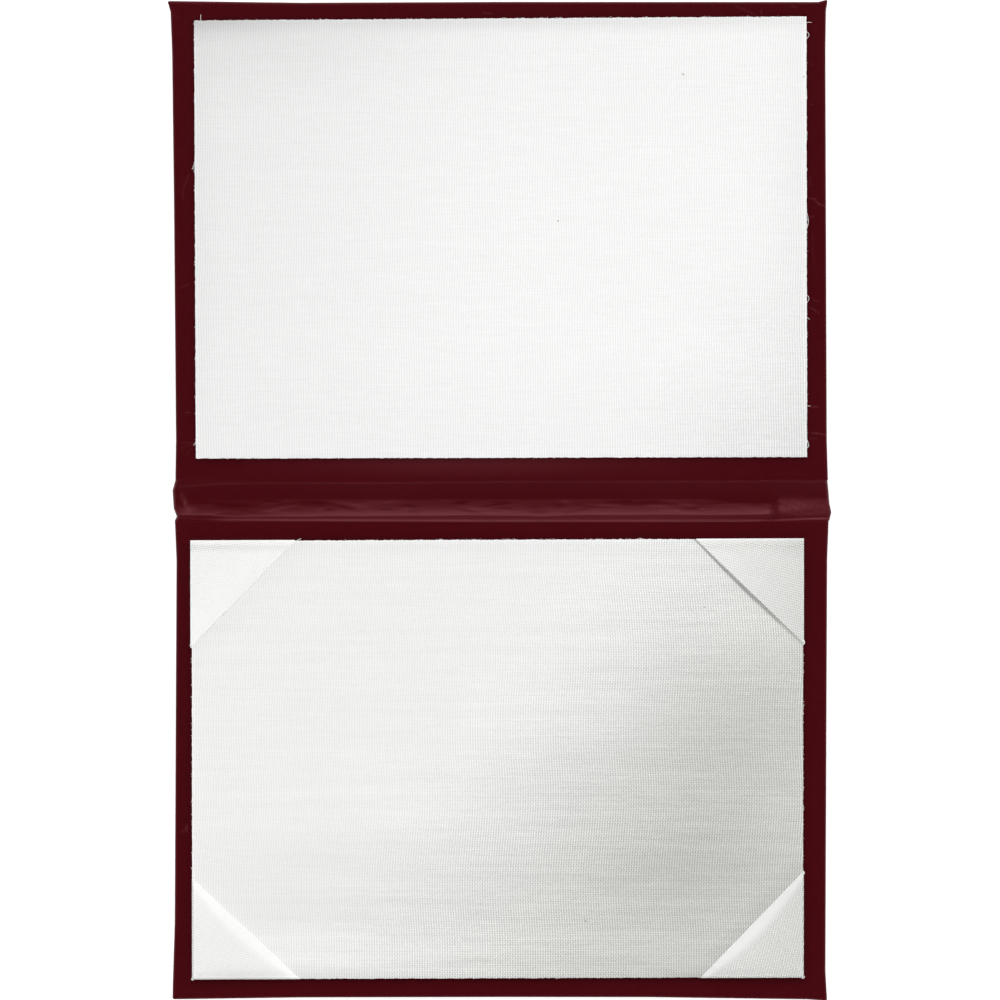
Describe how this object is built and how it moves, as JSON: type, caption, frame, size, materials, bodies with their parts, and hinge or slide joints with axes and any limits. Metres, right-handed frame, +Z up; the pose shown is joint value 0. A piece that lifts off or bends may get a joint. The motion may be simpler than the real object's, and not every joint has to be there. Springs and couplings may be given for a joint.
{
  "type": "padded diploma cover",
  "caption": "Folding padded leatherette cover with fabric liner panels and fabric pocket corners that hold a certificate flat on the back cover.",
  "frame": {"origin": "middle of the spine, on the plane that the open cover lies on", "axes": "+X along the spine, +Y from the back cover to the front cover, +Z up out of the inside of the open cover"},
  "size_m": [0.1924, 0.2916, 0.0081],
  "materials": {
    "leatherette": "satin",
    "board": "matte",
    "foam": "matte",
    "card": "matte",
    "liner_fabric": "satin"
  },
  "bodies": {
    "back_cover": {"back_cover_skin": "leatherette", "back_foam_pad": "foam", "back_board": "board", "back_hinge_lining": "leatherette", "back_liner_card": "card", "back_liner_fabric": "liner_fabric", "pocket_corner_top_left": "liner_fabric", "pocket_corner_top_right": "liner_fabric", "pocket_corner_bottom_left": "liner_fabric", "pocket_corner_bottom_right": "liner_fabric"},
    "spine": {"spine_skin": "leatherette", "spine_lining": "leatherette"},
    "front_cover": {"front_cover_skin": "leatherette", "front_foam_pad": "foam", "front_board": "board", "front_hinge_lining": "leatherette", "front_liner_card": "card", "front_liner_fabric": "liner_fabric"}
  },
  "joints": [
    {"name": "back_crease", "type": "hinge", "parent": "back_cover", "child": "spine", "pos_m": [0, -0.0048, 0.0029], "axis": [1, 0, 0], "range_deg": [0, 90]},
    {"name": "front_crease", "type": "hinge", "parent": "spine", "child": "front_cover", "pos_m": [0, 0.0048, 0.0029], "axis": [1, 0, 0], "range_deg": [0, 90]}
  ]
}
